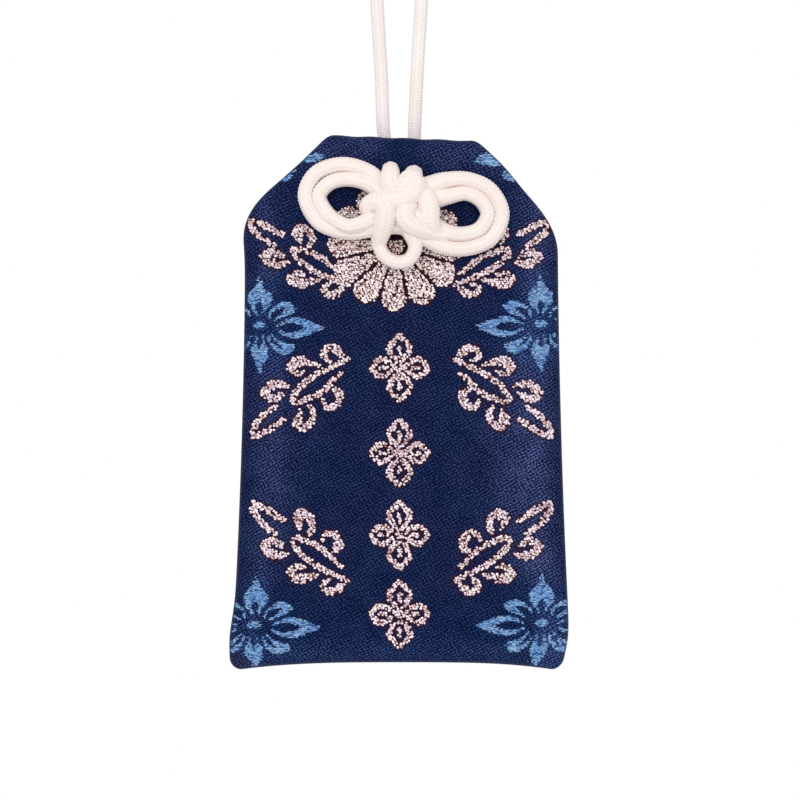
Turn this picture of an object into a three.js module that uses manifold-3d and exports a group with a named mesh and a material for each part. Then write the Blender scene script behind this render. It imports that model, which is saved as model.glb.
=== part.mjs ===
// Omamori charm: a brocade amulet pouch that hangs on its own knotted cord.
// Millimetres, +Z up, front facing -Y. The origin is the inside top of the cord loop, where it hangs.

import * as THREE from 'three';
import { mergeVertices } from 'three/addons/utils/BufferGeometryUtils.js';
import Module from 'manifold-3d';

const wasm = await Module();
wasm.setup();

// Driving dimensions of the pouch
const mouthHalfWidth = 10.45;
const shoulderHalfWidth = 22.35;
const bottomHalfWidth = 24.35;
const shoulderDrop = 11.6;
const pouchHeight = 75.9;
const shoulderRounding = 4.2;
const mouthCornerRadius = 0.7;
const bottomCornerRadius = 1.6;
const mouthTilt = 0.04;
const bottomDrawIn = 1.0;
const clothThickness = 0.7;
const mouthThickness = 4.2;
const bodyThickness = 6.2;
const shoulderOfFilling = 9;
const topOfFilling = 22;
const sideRoll = 5;
const mouthRoll = 3;
const bottomRoll = 5;

// Driving dimensions of the cord
const cordDiameter = 1.78;
const cordSides = 8;
const cordStep = 1.3;
const loopRise = 56;
const leftHole = { x: -1.5, drop: 4.5 };
const rightHole = { x: 1.8, drop: 5 };
const knotDrop = 0.3;

// Driving dimensions of the overhand knot that joins the cord's two ends
const coreSpacing = 2.3;
const wrapPitch = 4.7;
const wrapTurns = 0.75;
const wrapPoints = 12;
const bendRise = 1.15;
const overhandRise = 5.6;
const tailLength = 9;

// Driving dimensions of what the pouch holds
const interliningThickness = 0.3;
const interliningWidth = 37;
const interliningHeight = 46;
const cardThickness = 0.5;
const cardWidth = 34;
const cardHeight = 45;
const tabletThickness = 0.9;
const tabletWidth = 26;
const tabletHeight = 40;
const tabletPeak = 4;
const wrapperThickness = 0.25;
const wrapperWall = 0.3;
const cornerRadius = 2;

// Fits
const clearance = 0.3;
const seamGap = 0.3;
const packetSeat = 2;
const fillingSeat = 3.3;

const cordRadius = cordDiameter / 2;
const holeRadius = cordRadius + clearance;
const rimHalf = seamGap / 2 + clothThickness;

const brocade = new THREE.MeshStandardMaterial({ color: 0x17264f, roughness: 0.55, metalness: 0 });
const cordSilk = new THREE.MeshStandardMaterial({ color: 0xf8ece6, roughness: 0.7, metalness: 0 });
const interliningFleece = new THREE.MeshStandardMaterial({ color: 0xe9e6df, roughness: 0.9, metalness: 0 });
const greyCard = new THREE.MeshStandardMaterial({ color: 0xcfc8b8, roughness: 0.9, metalness: 0 });
const washiPaper = new THREE.MeshStandardMaterial({ color: 0xf4f0e4, roughness: 0.9, metalness: 0 });
const cypressWood = new THREE.MeshStandardMaterial({ color: 0xd9b98a, roughness: 0.75, metalness: 0 });

// The pouch's outline and thickness, as functions of the drop below the mouth

function smoothStep(from, to, value) {
  const t = Math.min(1, Math.max(0, (value - from) / (to - from)));
  return t * t * (3 - 2 * t);
}

function smoothMin(a, b, rounding) {
  const h = Math.max(0, 1 - Math.abs(a - b) / rounding);
  return Math.min(a, b) - (h * h * rounding) / 4;
}

// Half the width between the slanting shoulders and then the flared sides, rounded where they meet
function edgeHalfWidth(drop) {
  const chamfer = mouthHalfWidth + ((shoulderHalfWidth - mouthHalfWidth) * drop) / shoulderDrop;
  const down = Math.max(0, (drop - shoulderDrop) / (pouchHeight - shoulderDrop));
  const side = shoulderHalfWidth + (bottomHalfWidth - shoulderHalfWidth) * down * down;
  return smoothMin(chamfer, side, shoulderRounding);
}

// What a rounded corner takes off the side, from the distance to the end edge
function cornerCut(distance, radius) {
  const past = Math.min(1, Math.max(0, 1 - distance / radius));
  return radius * (1 - Math.sqrt(1 - past * past));
}

// Half the width with the corners of the mouth and of the bottom rounded
function halfWidth(drop) {
  const taken = cornerCut(drop, mouthCornerRadius) + cornerCut(pouchHeight - drop, bottomCornerRadius);
  return edgeHalfWidth(drop) - taken;
}

// The quarter-round roll of padded cloth from a seam (0) up to the flat (1)
function roll(distance, width) {
  const t = Math.min(1, Math.max(0, distance / width));
  return Math.sqrt(1 - (1 - t) * (1 - t));
}

function edgeCosine(drop) {
  const step = 0.05;
  const slope = (edgeHalfWidth(drop + step) - edgeHalfWidth(drop - step)) / (2 * step);
  return 1 / Math.hypot(1, slope);
}

// Half the pouch's thickness at a point across (x) and below the mouth (drop)
function halfThickness(x, drop) {
  const filled = smoothStep(shoulderOfFilling, topOfFilling, drop);
  const full = (mouthThickness + (bodyThickness - mouthThickness) * filled) / 2;
  const fromSide = (halfWidth(drop) - Math.abs(x)) * edgeCosine(drop);
  const swell = roll(fromSide, sideRoll) * roll(drop, mouthRoll) * roll(pouchHeight - drop, bottomRoll);
  return rimHalf + (full - rimHalf) * swell;
}

// Height of a pouch point: the mouth tilts a little and the bottom is drawn in between its corners
function heightAt(x, drop) {
  const across = Math.abs(x) / halfWidth(drop);
  const draw = bottomDrawIn * (1 - across ** 3) * smoothStep(pouchHeight - 2 * bottomRoll, pouchHeight, drop);
  return draw - drop - mouthTilt * x * (1 - drop / pouchHeight);
}

// Distances from a seam at which the roll of the cloth is drawn, even along its quarter round
function rollStations(width, count) {
  return Array.from({ length: count + 1 }, (_, i) => width * (1 - Math.cos((i / count) * (Math.PI / 2))));
}

function spread(from, to, count) {
  return Array.from({ length: count - 1 }, (_, i) => from + ((to - from) * (i + 1)) / count);
}

function rowDrops() {
  const top = rollStations(mouthRoll, 4);
  const bottom = rollStations(bottomRoll, 5).map((d) => pouchHeight - d).reverse();
  const shoulders = spread(mouthRoll, shoulderDrop, 5);
  const corner = [shoulderDrop];
  const rise = spread(shoulderDrop, topOfFilling, 4);
  const body = [topOfFilling, ...spread(topOfFilling, pouchHeight - bottomRoll, 5)];
  return [...top, ...shoulders, ...corner, ...rise, ...body, ...bottom];
}

function columnPlaces(drop) {
  const half = halfWidth(drop);
  const edge = rollStations(sideRoll, 4).map((d) => d / edgeCosine(drop));
  const right = edge.map((d) => half - d).reverse();
  const left = edge.map((d) => d - half);
  return [...left, ...spread(left[left.length - 1], right[0], 6), ...right];
}

// Solids

function geometryFrom(positions, triangles) {
  const geometry = new THREE.BufferGeometry();
  geometry.setAttribute('position', new THREE.Float32BufferAttribute(positions, 3));
  geometry.setIndex(triangles);
  geometry.computeVertexNormals();
  return geometry;
}

function toSolid(geometry) {
  const bare = geometry.clone();
  bare.deleteAttribute('normal');
  bare.deleteAttribute('uv');
  const merged = mergeVertices(bare, 1e-4);
  const vertProperties = new Float32Array(merged.attributes.position.array);
  const triVerts = new Uint32Array(merged.index.array);
  return new wasm.Manifold(new wasm.Mesh({ numProp: 3, vertProperties, triVerts }));
}

function fromSolid(solid) {
  const { vertProperties, triVerts } = solid.getMesh();
  return geometryFrom(Array.from(vertProperties), Array.from(triVerts));
}

function cut(geometry, cutters) {
  return fromSolid(cutters.reduce((solid, cutter) => solid.subtract(toSolid(cutter)), toSolid(geometry)));
}

// One padded cloth panel: a grid of rows and columns with an outer and an inner skin, closed at its rim
function panelShell(facing) {
  const drops = rowDrops();
  const columns = columnPlaces(0).length;
  const positions = [];
  for (const inset of [0, clothThickness]) {
    for (const drop of drops) {
      for (const x of columnPlaces(drop)) {
        positions.push(x, facing * (halfThickness(x, drop) - inset), heightAt(x, drop));
      }
    }
  }
  const skin = drops.length * columns;
  const at = (row, column, layer) => layer * skin + row * columns + column;
  const triangles = [];
  const quad = (a, b, c, d) => {
    const corners = facing < 0 ? [a, b, c, a, c, d] : [a, c, b, a, d, c];
    triangles.push(...corners);
  };
  for (let row = 0; row + 1 < drops.length; row += 1) {
    for (let column = 0; column + 1 < columns; column += 1) {
      const ring = [[row, column], [row + 1, column], [row + 1, column + 1], [row, column + 1]];
      quad(...ring.map(([r, c]) => at(r, c, 0)));
      quad(...ring.reverse().map(([r, c]) => at(r, c, 1)));
    }
  }
  const rim = rimLoop(drops.length, columns);
  rim.forEach(([row, column], i) => {
    const [nextRow, nextColumn] = rim[(i + 1) % rim.length];
    quad(at(row, column, 0), at(row, column, 1), at(nextRow, nextColumn, 1), at(nextRow, nextColumn, 0));
  });
  return geometryFrom(positions, triangles);
}

// The grid's border, in the order left side down, bottom, right side up and mouth
function rimLoop(rows, columns) {
  const loop = [];
  for (let row = 0; row < rows - 1; row += 1) loop.push([row, 0]);
  for (let column = 0; column < columns - 1; column += 1) loop.push([rows - 1, column]);
  for (let row = rows - 1; row > 0; row -= 1) loop.push([row, columns - 1]);
  for (let column = columns - 1; column > 0; column -= 1) loop.push([0, column]);
  return loop;
}

// A drill through the cloth for the cord
function holeDrill(hole) {
  const drill = new THREE.CylinderGeometry(holeRadius, holeRadius, 2 * bodyThickness, 12);
  drill.translate(hole.x, 0, heightAt(hole.x, hole.drop));
  return drill;
}

function clothPanel(facing) {
  return cut(panelShell(facing), [holeDrill(leftHole), holeDrill(rightHole)]);
}

// A flat sheet inside the pouch, from its outline, the depth of its front face and its lower edge
function sheet(outline, depth, thickness, bottomDrop) {
  const geometry = new THREE.ExtrudeGeometry(outline, { depth: thickness, bevelEnabled: false, curveSegments: 4 });
  geometry.rotateX(Math.PI / 2);
  geometry.translate(0, depth + thickness, -bottomDrop);
  return geometry;
}

function roundedRectangle(width, height) {
  const half = width / 2;
  const shape = new THREE.Shape();
  shape.moveTo(cornerRadius - half, 0);
  shape.lineTo(half - cornerRadius, 0);
  shape.absarc(half - cornerRadius, cornerRadius, cornerRadius, -Math.PI / 2, 0);
  shape.lineTo(half, height - cornerRadius);
  shape.absarc(half - cornerRadius, height - cornerRadius, cornerRadius, 0, Math.PI / 2);
  shape.lineTo(cornerRadius - half, height);
  shape.absarc(cornerRadius - half, height - cornerRadius, cornerRadius, Math.PI / 2, Math.PI);
  shape.lineTo(-half, cornerRadius);
  shape.absarc(cornerRadius - half, cornerRadius, cornerRadius, Math.PI, 1.5 * Math.PI);
  return shape;
}

// The wooden amulet tablet, with the low gable top that such tablets have
function tabletOutline() {
  const half = tabletWidth / 2;
  const shape = new THREE.Shape();
  shape.moveTo(-half, 0);
  shape.lineTo(half, 0);
  shape.lineTo(half, tabletHeight - tabletPeak);
  shape.lineTo(0, tabletHeight);
  shape.lineTo(-half, tabletHeight - tabletPeak);
  shape.closePath();
  return shape;
}

// Depths of the layers inside, from the back cloth to the front cloth
const backInnerFace = bodyThickness / 2 - clothThickness;
const backInterliningDepth = backInnerFace - clearance - interliningThickness;
const cardDepth = backInterliningDepth - clearance - cardThickness;
const wrapperOuterThickness = tabletThickness + 2 * (clearance + wrapperThickness);
const wrapperDepth = cardDepth - clearance - wrapperOuterThickness;
const tabletDepth = wrapperDepth + wrapperThickness + clearance;
const frontInterliningDepth = clearance - backInnerFace;

// The filling stands where the cloth narrows, above the drawn-in bottom
const packetBottomDrop = pouchHeight - bottomDrawIn - packetSeat;
const fillingBottomDrop = pouchHeight - bottomDrawIn - fillingSeat;

// The paper wrapper: a flat sleeve round the tablet, open at top and bottom
function paperSleeve() {
  const inner = { width: tabletWidth + 2 * clearance, depth: tabletThickness + 2 * clearance };
  const outer = { width: inner.width + 2 * wrapperWall, depth: wrapperOuterThickness };
  const rectangle = (target, size) => {
    target.moveTo(-size.width / 2, -size.depth / 2);
    target.lineTo(size.width / 2, -size.depth / 2);
    target.lineTo(size.width / 2, size.depth / 2);
    target.lineTo(-size.width / 2, size.depth / 2);
    target.closePath();
    return target;
  };
  const section = rectangle(new THREE.Shape(), outer);
  section.holes.push(rectangle(new THREE.Path(), inner));
  const sleeve = new THREE.ExtrudeGeometry(section, { depth: tabletHeight, bevelEnabled: false });
  sleeve.translate(0, wrapperDepth + outer.depth / 2, -packetBottomDrop);
  return sleeve;
}

// Cords

function cordCurve(points) {
  const curve = new THREE.CatmullRomCurve3(points, false, 'centripetal');
  curve.arcLengthDivisions = 40 * points.length;
  return curve;
}

function cordTube(curve) {
  const section = new THREE.Shape(
    Array.from({ length: cordSides }, (_, i) => {
      const angle = (2 * Math.PI * i) / cordSides;
      return new THREE.Vector2(cordRadius * Math.cos(angle), cordRadius * Math.sin(angle));
    }),
  );
  const steps = Math.ceil(curve.getLength() / cordStep);
  return new THREE.ExtrudeGeometry(section, { steps, extrudePath: curve, bevelEnabled: false });
}

// Least gap between the surfaces of two cords, or of one cord and itself past a bend's length
function leastGap(first, second) {
  const spacing = 0.3;
  const points = (curve) => curve.getSpacedPoints(Math.ceil(curve.getLength() / spacing));
  const own = points(first);
  const other = first === second ? own : points(second);
  const bend = first === second ? Math.ceil((2.2 * cordDiameter) / spacing) : 0;
  let least = Infinity;
  own.forEach((p, i) => {
    for (let j = first === second ? i + bend : 0; j < other.length; j += 1) {
      least = Math.min(least, p.distanceTo(other[j]));
    }
  });
  return least - cordDiameter;
}

// The double-eared knot on the front: across, down from its own top and lift of the cord above the cloth.
// It runs from the left hole to the right ear, twice round both ears, down over the lower runs to the
// small loop, up behind them into the left ear, across the front and over the upper runs to the right hole.
const knotRoute = [
  [-1.3, 4.8, 3.0], [-0.7, 6.1, 3.7], [1.0, 6.7, 3.2], [3.6, 6.4, 2.6], [6.2, 5.7, 1.6],
  [9.3, 5.5, 1.2], [12.6, 6.9, 1.2], [14.5, 10.3, 1.2], [12.9, 13.9, 1.2], [9.2, 15.4, 1.2],
  [5.6, 15.2, 1.3], [2.5, 13.7, 1.5], [0, 12.5, 1.9], [-3.3, 12.5, 3.3], [-5.2, 12.95, 2.4],
  [-7.5, 13.1, 1.2], [-11.6, 11.7, 1.2], [-13.65, 7.8, 1.2], [-12.2, 4.7, 1.2], [-8.4, 3.4, 1.2],
  [-4.6, 4.5, 1.2], [-2.2, 6.6, 1.2], [0.8, 8.0, 1.2], [4.2, 8.2, 1.2], [6.6, 8.0, 2.0],
  [9.4, 7.5, 2.4], [11.5, 8.6, 2.4], [12.35, 10.5, 2.4], [11.2, 12.6, 2.4], [8.6, 13.3, 2.4],
  [5.6, 12.7, 2.4], [3.0, 11.3, 1.8], [0, 10.2, 1.7], [-2.1, 10.1, 2.2], [-4.2, 10.4, 3.4],
  [-5.8, 10.85, 3.5], [-7.6, 11.6, 3.3], [-10.3, 10.3, 2.6], [-11.5, 7.9, 2.4], [-10.3, 6.1, 2.4],
  [-7.9, 5.5, 2.4], [-4.9, 6.2, 2.9], [-2.6, 7.6, 3.5], [-0.6, 9.2, 3.9], [1.1, 11.2, 4.0],
  [2.2, 13.4, 4.0], [2.6, 15.5, 3.2], [1.4, 17.1, 2.0], [-0.5, 17.5, 1.4], [-2.4, 16.6, 1.2],
  [-3.2, 14.8, 1.1], [-3.1, 12.8, 1.0], [-4.3, 10.8, 1.0], [-5.5, 9.2, 1.6], [-5.4, 8.4, 3.5],
  [-3.9, 8.5, 5.5], [-1.4, 8.8, 6.2], [0.6, 8.6, 6.2], [2.1, 7.6, 6.0], [2.8, 6.2, 5.6],
  [2.6, 4.9, 4.8], [1.95, 4.4, 3.0],
];

// The height of the knot's points is taken level, so that the mouth's tilt doesn't bend the knot
function clothDrop(x, z) {
  return -(z + mouthTilt * x) / (1 - (mouthTilt * x) / pouchHeight);
}

function aboveCloth(x, z, lift) {
  return new THREE.Vector3(x, -halfThickness(x, clothDrop(x, z)) - lift, z);
}

// The cord through both panels at a hole, from the back cloth's face to the front cloth's face
function throughHole(hole) {
  const z = heightAt(hole.x, hole.drop);
  const half = halfThickness(hole.x, hole.drop);
  return [half, 0, -half - clearance].map((y) => new THREE.Vector3(hole.x, y, z));
}

function knotCurve() {
  const front = knotRoute.map(([x, down, lift]) => aboveCloth(x, -down - knotDrop, lift));
  return cordCurve([...throughHole(leftHole), ...front, ...throughHole(rightHole).reverse()]);
}

// The pouch swings where the cord leaves its back, a clearance behind the cloth
const axisDrop = (leftHole.drop + rightHole.drop) / 2;
const axisDepth = halfThickness(0, axisDrop) + clearance + cordRadius;

// Free stretch of a strand: out from the middle and height above the mouth
const leftRise = [[-2.3, 0], [-2.85, 10], [-3.45, 20], [-3.9, 31], [-3.7, 41], [-2.5, 50]];
const rightRise = [[1.9, 0], [2.35, 10], [2.95, 20], [3.5, 31], [3.5, 41], [2.5, 50]];

// A strand through the overhand knot: up its core, over the top, round the outside going down, in under
// the bottom and up the core again to its tail. The second strand is the first turned by half a turn.
function overhandPoints(turn) {
  const core = (coreSpacing / 2) * Math.SQRT2;
  const wrap = core + coreSpacing;
  const wrapDrop = wrapPitch * wrapTurns;
  const polar = (radius, angle, z) => {
    const direction = angle + turn;
    return new THREE.Vector3(radius * Math.cos(direction), radius * Math.sin(direction), overhandRise + z);
  };
  const start = 1.25 * Math.PI;
  const end = start + wrapTurns * 2 * Math.PI;
  const top = wrapDrop / 2;
  const bend = (core + wrap) / 2;
  const points = [polar(core, start, -top - 2 * bendRise), polar(core, start, 0), polar(core, start, top)];
  points.push(polar(bend, start, top + bendRise));
  for (let i = 0; i <= wrapPoints; i += 1) {
    const share = i / wrapPoints;
    points.push(polar(wrap, start + (end - start) * share, top - wrapDrop * share));
  }
  points.push(polar(bend, end, -top - bendRise));
  points.push(polar(core, end, -top), polar(core, end, 0), polar(core, end, top + bendRise));
  points.push(polar(1.25 * core, end, top + tailLength / 2), polar(1.6 * core, end, top + tailLength));
  return points;
}

// A strand in the loop's own frame, from the swing axis up to the overhand knot and out to its tail
function strandCurve(hole, rise, turn) {
  const root = [0, axisDrop / 2].map((up) => new THREE.Vector3(hole.x, 0, up - axisDrop - loopRise));
  const free = rise.map(([x, up]) => new THREE.Vector3(x, 0, up - loopRise));
  return cordCurve([...root, ...free, ...overhandPoints(turn)]);
}

// Assembly

function part(name, geometry, material) {
  const mesh = new THREE.Mesh(geometry, material);
  mesh.name = name;
  return mesh;
}

const knot = knotCurve();
const leftStrand = strandCurve(leftHole, leftRise, 0);
const rightStrand = strandCurve(rightHole, rightRise, Math.PI);

const hangingCord = new THREE.Group();
hangingCord.add(part('left_hanging_cord', cordTube(leftStrand), cordSilk));
hangingCord.add(part('right_hanging_cord', cordTube(rightStrand), cordSilk));

const interlining = roundedRectangle(interliningWidth, interliningHeight);
const card = roundedRectangle(cardWidth, cardHeight);
const frontLining = sheet(interlining, frontInterliningDepth, interliningThickness, fillingBottomDrop);
const backLining = sheet(interlining, backInterliningDepth, interliningThickness, fillingBottomDrop);

const pouch = new THREE.Group();
pouch.position.set(0, -axisDepth, -loopRise);
pouch.add(part('front_panel', clothPanel(-1), brocade));
pouch.add(part('back_panel', clothPanel(1), brocade));
pouch.add(part('front_interlining', frontLining, interliningFleece));
pouch.add(part('back_interlining', backLining, interliningFleece));
pouch.add(part('stiffener_card', sheet(card, cardDepth, cardThickness, fillingBottomDrop), greyCard));
pouch.add(part('knot_cord', cordTube(knot), cordSilk));

const packet = new THREE.Group();
const tablet = sheet(tabletOutline(), tabletDepth, tabletThickness, packetBottomDrop);
packet.add(part('amulet_tablet', tablet, cypressWood));
packet.add(part('paper_wrapper', paperSleeve(), washiPaper));
pouch.add(packet);

const charm = new THREE.Group();
charm.add(hangingCord, pouch);

console.log('least gap of the front knot to itself, mm:', leastGap(knot, knot).toFixed(2));
console.log('least gap of a hanging strand to itself, mm:', leastGap(leftStrand, leftStrand).toFixed(2));
console.log('least gap between the two strands, mm:', leastGap(leftStrand, rightStrand).toFixed(2));

export default charm;
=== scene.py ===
"""Looks of an omamori charm: a brocade amulet pouch, its double-eared knot and its hanging cord.

Sizes are in millimetres until a mesh is made. The pouch's own origin is the middle of its mouth.
"""

import math

import bpy
import numpy as np
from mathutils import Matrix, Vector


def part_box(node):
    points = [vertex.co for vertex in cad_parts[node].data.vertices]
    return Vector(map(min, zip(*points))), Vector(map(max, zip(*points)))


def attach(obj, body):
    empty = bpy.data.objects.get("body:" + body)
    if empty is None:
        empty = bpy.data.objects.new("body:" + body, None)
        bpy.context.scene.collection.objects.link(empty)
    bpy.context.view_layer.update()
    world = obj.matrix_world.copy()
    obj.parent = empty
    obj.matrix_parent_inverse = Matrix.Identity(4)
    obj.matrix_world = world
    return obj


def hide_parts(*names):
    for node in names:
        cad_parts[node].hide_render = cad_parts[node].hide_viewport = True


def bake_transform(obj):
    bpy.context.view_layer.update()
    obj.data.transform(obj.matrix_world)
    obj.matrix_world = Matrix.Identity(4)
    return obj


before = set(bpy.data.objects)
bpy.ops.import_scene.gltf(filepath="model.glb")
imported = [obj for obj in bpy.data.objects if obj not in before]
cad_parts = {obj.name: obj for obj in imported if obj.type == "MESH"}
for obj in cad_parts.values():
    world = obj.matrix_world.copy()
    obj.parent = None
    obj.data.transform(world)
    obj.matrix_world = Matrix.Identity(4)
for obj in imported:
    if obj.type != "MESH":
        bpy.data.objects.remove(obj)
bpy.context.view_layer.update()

MM = 0.001
DRAW = np.random.default_rng(7)

# The pouch, as in the solids
MOUTH_HALF, SHOULDER_HALF, BOTTOM_HALF = 10.45, 22.35, 24.35
SHOULDER_DROP, POUCH_HEIGHT = 11.6, 75.9
SHOULDER_ROUNDING, MOUTH_CORNER, BOTTOM_CORNER = 4.2, 0.7, 1.6
MOUTH_TILT, BOTTOM_DRAW_IN = 0.04, 1.0
MOUTH_PUFF, MOUTH_WAVE, MOUTH_WAVE_RATE, PUFF_DROP = 0.24, 0.06, 1.3, 4
RIM_HALF, MOUTH_THICKNESS, BODY_THICKNESS = 0.85, 4.2, 6.2
FILLING_SHOULDER, FILLING_TOP = 9.0, 22.0
SIDE_ROLL, MOUTH_ROLL, BOTTOM_ROLL = 5.0, 3.0, 5.0
POUCH_DEPTH, POUCH_TOP = -3.29, -56.0
FRONT, BACK = -1, 1

# The cord, with the soft outside that the solids leave out
CORD_RADIUS = 1.0
LEFT_HOLE, RIGHT_HOLE = (-1.5, 4.5), (1.8, 5.0)
LOOP_RISE = 56.0
KNOT_DROP = 0.3

# The cloth's mesh, and how far its threads keep from its edges
CLOTH_GRID, BACK_GRID, CLOTH_SKIN, SLOPE_STEP, EDGE_CLEAR = 0.4, 0.8, 0.6, 0.05, 0.3

# Colours, linear. The third navy is a painted sheen on the satin
NAVY_DARK, NAVY_LIGHT = (0.0008, 0.005, 0.034), (0.04, 0.066, 0.185)
NAVY_VIOLET, NAVY_SHEEN = (0.05, 0.055, 0.17), (0.14, 0.173, 0.44)
COOL_TINT = (0.72, 1.02, 1.07)
PLUM, DEEP_BLUE = (0.03, 0.01, 0.017), (0.04, 0.1, 0.26)
LAME_PALE, LAME_CREAM, LAME_ROSE = (1.0, 0.86, 0.97), (1.0, 0.86, 0.83), (0.36, 0.15, 0.15)
SKY_PALE, SKY_DEEP = (0.43, 0.71, 1.0), (0.06, 0.18, 0.52)
# The cord's second colour is painted shade in the knit's grooves; its third is painted light on the free
# strands
CORD_WHITE, CORD_SHADE, CORD_STRAND_LIT = (0.97, 0.88, 0.845), (0.9, 0.77, 0.72), (0.97, 0.94, 0.925)
WHITE = (1.0, 1.0, 1.0)


# Meshes


def in_frame(points):
    """Pouch points, in millimetres, as frame points in millimetres."""
    return np.asarray(points, float) + (0, POUCH_DEPTH, POUCH_TOP)


def add_object(name, data):
    obj = bpy.data.objects.new(name, data)
    bpy.context.scene.collection.objects.link(obj)
    return obj


def add_mesh(name, points, faces, material, smooth=True):
    """A mesh object from frame points in millimetres."""
    mesh = bpy.data.meshes.new(name)
    mesh.from_pydata((np.asarray(points) * MM).tolist(), [], faces)
    mesh.polygons.foreach_set("use_smooth", [smooth] * len(mesh.polygons))
    mesh.materials.append(material)
    mesh.update()
    return add_object(name, mesh)


def add_colours(obj, name, colours):
    """A colour for each point of a mesh."""
    attribute = obj.data.color_attributes.new(name, "FLOAT_COLOR", "POINT")
    rgba = np.ones((len(obj.data.vertices), 4), np.float32)
    rgba[:, :3] = colours
    attribute.data.foreach_set("color", rgba.ravel())


def add_cloth_map(obj, flat):
    """A UV map in millimetres of cloth, from each point's place on the flat cloth."""
    corners = np.empty(len(obj.data.loops), np.int32)
    obj.data.loops.foreach_get("vertex_index", corners)
    layer = obj.data.uv_layers.new(name="cloth")
    layer.data.foreach_set("uv", np.asarray(flat, np.float32)[corners].ravel())


# The pouch's outline and thickness, as functions of the drop below the mouth


def smooth_step(start, end, value):
    t = np.clip((value - start) / (end - start), 0, 1)
    return t * t * (3 - 2 * t)


def bell(value, height, middle, reach):
    """A smooth hump round a middle, which fades over a reach."""
    return height * np.exp(-(((value - middle) / reach) ** 2))


def smooth_min(a, b, rounding):
    h = np.maximum(0, 1 - np.abs(a - b) / rounding)
    return np.minimum(a, b) - h * h * rounding / 4


def edge_half_width(drop):
    chamfer = MOUTH_HALF + (SHOULDER_HALF - MOUTH_HALF) * drop / SHOULDER_DROP
    down = np.maximum(0, (drop - SHOULDER_DROP) / (POUCH_HEIGHT - SHOULDER_DROP))
    side = SHOULDER_HALF + (BOTTOM_HALF - SHOULDER_HALF) * down**2
    return smooth_min(chamfer, side, SHOULDER_ROUNDING)


def corner_cut(distance, radius):
    past = np.clip(1 - distance / radius, 0, 1)
    return radius * (1 - np.sqrt(1 - past * past))


def half_width(drop):
    taken = corner_cut(drop, MOUTH_CORNER) + corner_cut(POUCH_HEIGHT - drop, BOTTOM_CORNER)
    return edge_half_width(drop) - taken


def roll(distance, width):
    t = np.clip(distance / width, 0, 1)
    return np.sqrt(1 - (1 - t) ** 2)


def from_side(x, drop):
    """Distance of a cloth point from the side seam."""
    rise = edge_half_width(drop + SLOPE_STEP) - edge_half_width(drop - SLOPE_STEP)
    slope = rise / (2 * SLOPE_STEP)
    return (half_width(drop) - np.abs(x)) / np.hypot(1, slope)


def half_thickness(x, drop):
    filled = smooth_step(FILLING_SHOULDER, FILLING_TOP, drop)
    full = (MOUTH_THICKNESS + (BODY_THICKNESS - MOUTH_THICKNESS) * filled) / 2
    swell = roll(from_side(x, drop), SIDE_ROLL) * roll(drop, MOUTH_ROLL)
    return RIM_HALF + (full - RIM_HALF) * swell * roll(POUCH_HEIGHT - drop, BOTTOM_ROLL)


def height_at(x, drop):
    across = np.abs(x) / half_width(drop)
    lifted = smooth_step(POUCH_HEIGHT - 2 * BOTTOM_ROLL, POUCH_HEIGHT, drop)
    draw = BOTTOM_DRAW_IN * (1 - across**3) * lifted
    wave = MOUTH_WAVE * np.sin(MOUTH_WAVE_RATE * x + 0.7)
    puff = (MOUTH_PUFF + wave) * (1 - smooth_step(0, PUFF_DROP, drop))
    return draw + puff - drop - MOUTH_TILT * x * (1 - drop / POUCH_HEIGHT)


def drop_at(x, down):
    """The drop of the cloth point that lies a level distance below the mouth's middle."""
    drop = np.array(down, float)
    for _ in range(6):
        drop = drop + height_at(x, np.clip(drop, 0, POUCH_HEIGHT)) + down
    return np.clip(drop, 0, POUCH_HEIGHT)


# Ripples of the cloth: humps as (height, middle, reach), and the lengths of the waves in them
PUCKER, PUCKER_LENGTH, PUCKER_DRIFT = (0.1, 1.6, 1.6), 2.1, 3.7
GATHER, GATHER_FAN, GATHER_FOLDS = (0.14, 4, 5), 4, 17
SLACK_HEIGHT, SLACK_WIDE, SLACK_TALL = 0.07, 5.3, 8.5
SEAM_PUCKER, SEAM_LENGTH = (0.09, 2.2, 2), 1.9
RIPPLE_EDGE = 0.2, 1.5


def ripple(x, drop, side):
    """How far the cloth stands off its even shape. The side shifts the waves of it."""
    inset = from_side(x, drop)
    along = drop / PUCKER_LENGTH + 0.9 * np.sin(drop / PUCKER_DRIFT + side) + np.sign(x)
    pucker = bell(inset, *PUCKER) * np.sin(along)
    folds = GATHER_FOLDS * np.arctan2(x, drop + GATHER_FAN) + 0.8 * side
    gather = bell(drop, *GATHER) * np.sin(folds)
    slack = SLACK_HEIGHT * np.sin(x / SLACK_WIDE + 1.1 * side) * np.sin(drop / SLACK_TALL + 0.6)
    bottom = bell(POUCH_HEIGHT - drop, *SEAM_PUCKER) * np.sin(x / SEAM_LENGTH + side)
    return (pucker + gather + slack + bottom) * smooth_step(*RIPPLE_EDGE, inset)


def cloth_half(x, drop, side):
    return half_thickness(x, drop) + ripple(x, drop, side)


# Where the worn edges have moved outward: side, drop, reach and amount. The cloth's middle stays.
EDGE_FROM = 0.45
EDGE_MOVES = [
    (-1, 10.0, 5.0, 0.55), (-1, 71.5, 4.0, 0.5), (1, 3.5, 3.5, 0.85), (1, 40.0, 40.0, 0.2),
    (1, 76.5, 4.0, -1.3),
]


def settled(points):
    """Pouch points, moved sideways with the worn edges of the cloth."""
    points = np.array(points, float)
    x, drop = points[:, 0], -points[:, 2]
    moved_by = np.zeros(len(points))
    for side, level, reach, amount in EDGE_MOVES:
        share = smooth_step(EDGE_FROM, 1, side * x / edge_half_width(drop))
        moved_by += share * bell(drop, side * amount, level, reach)
    points[:, 0] += moved_by
    return points


# Strokes: woven figures as lines of (across, down, width) points. Down is measured from the knot's top.
CURVE_POINTS = 24


def step_lengths(line):
    return np.linalg.norm(np.diff(line, axis=0), axis=1)


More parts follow.
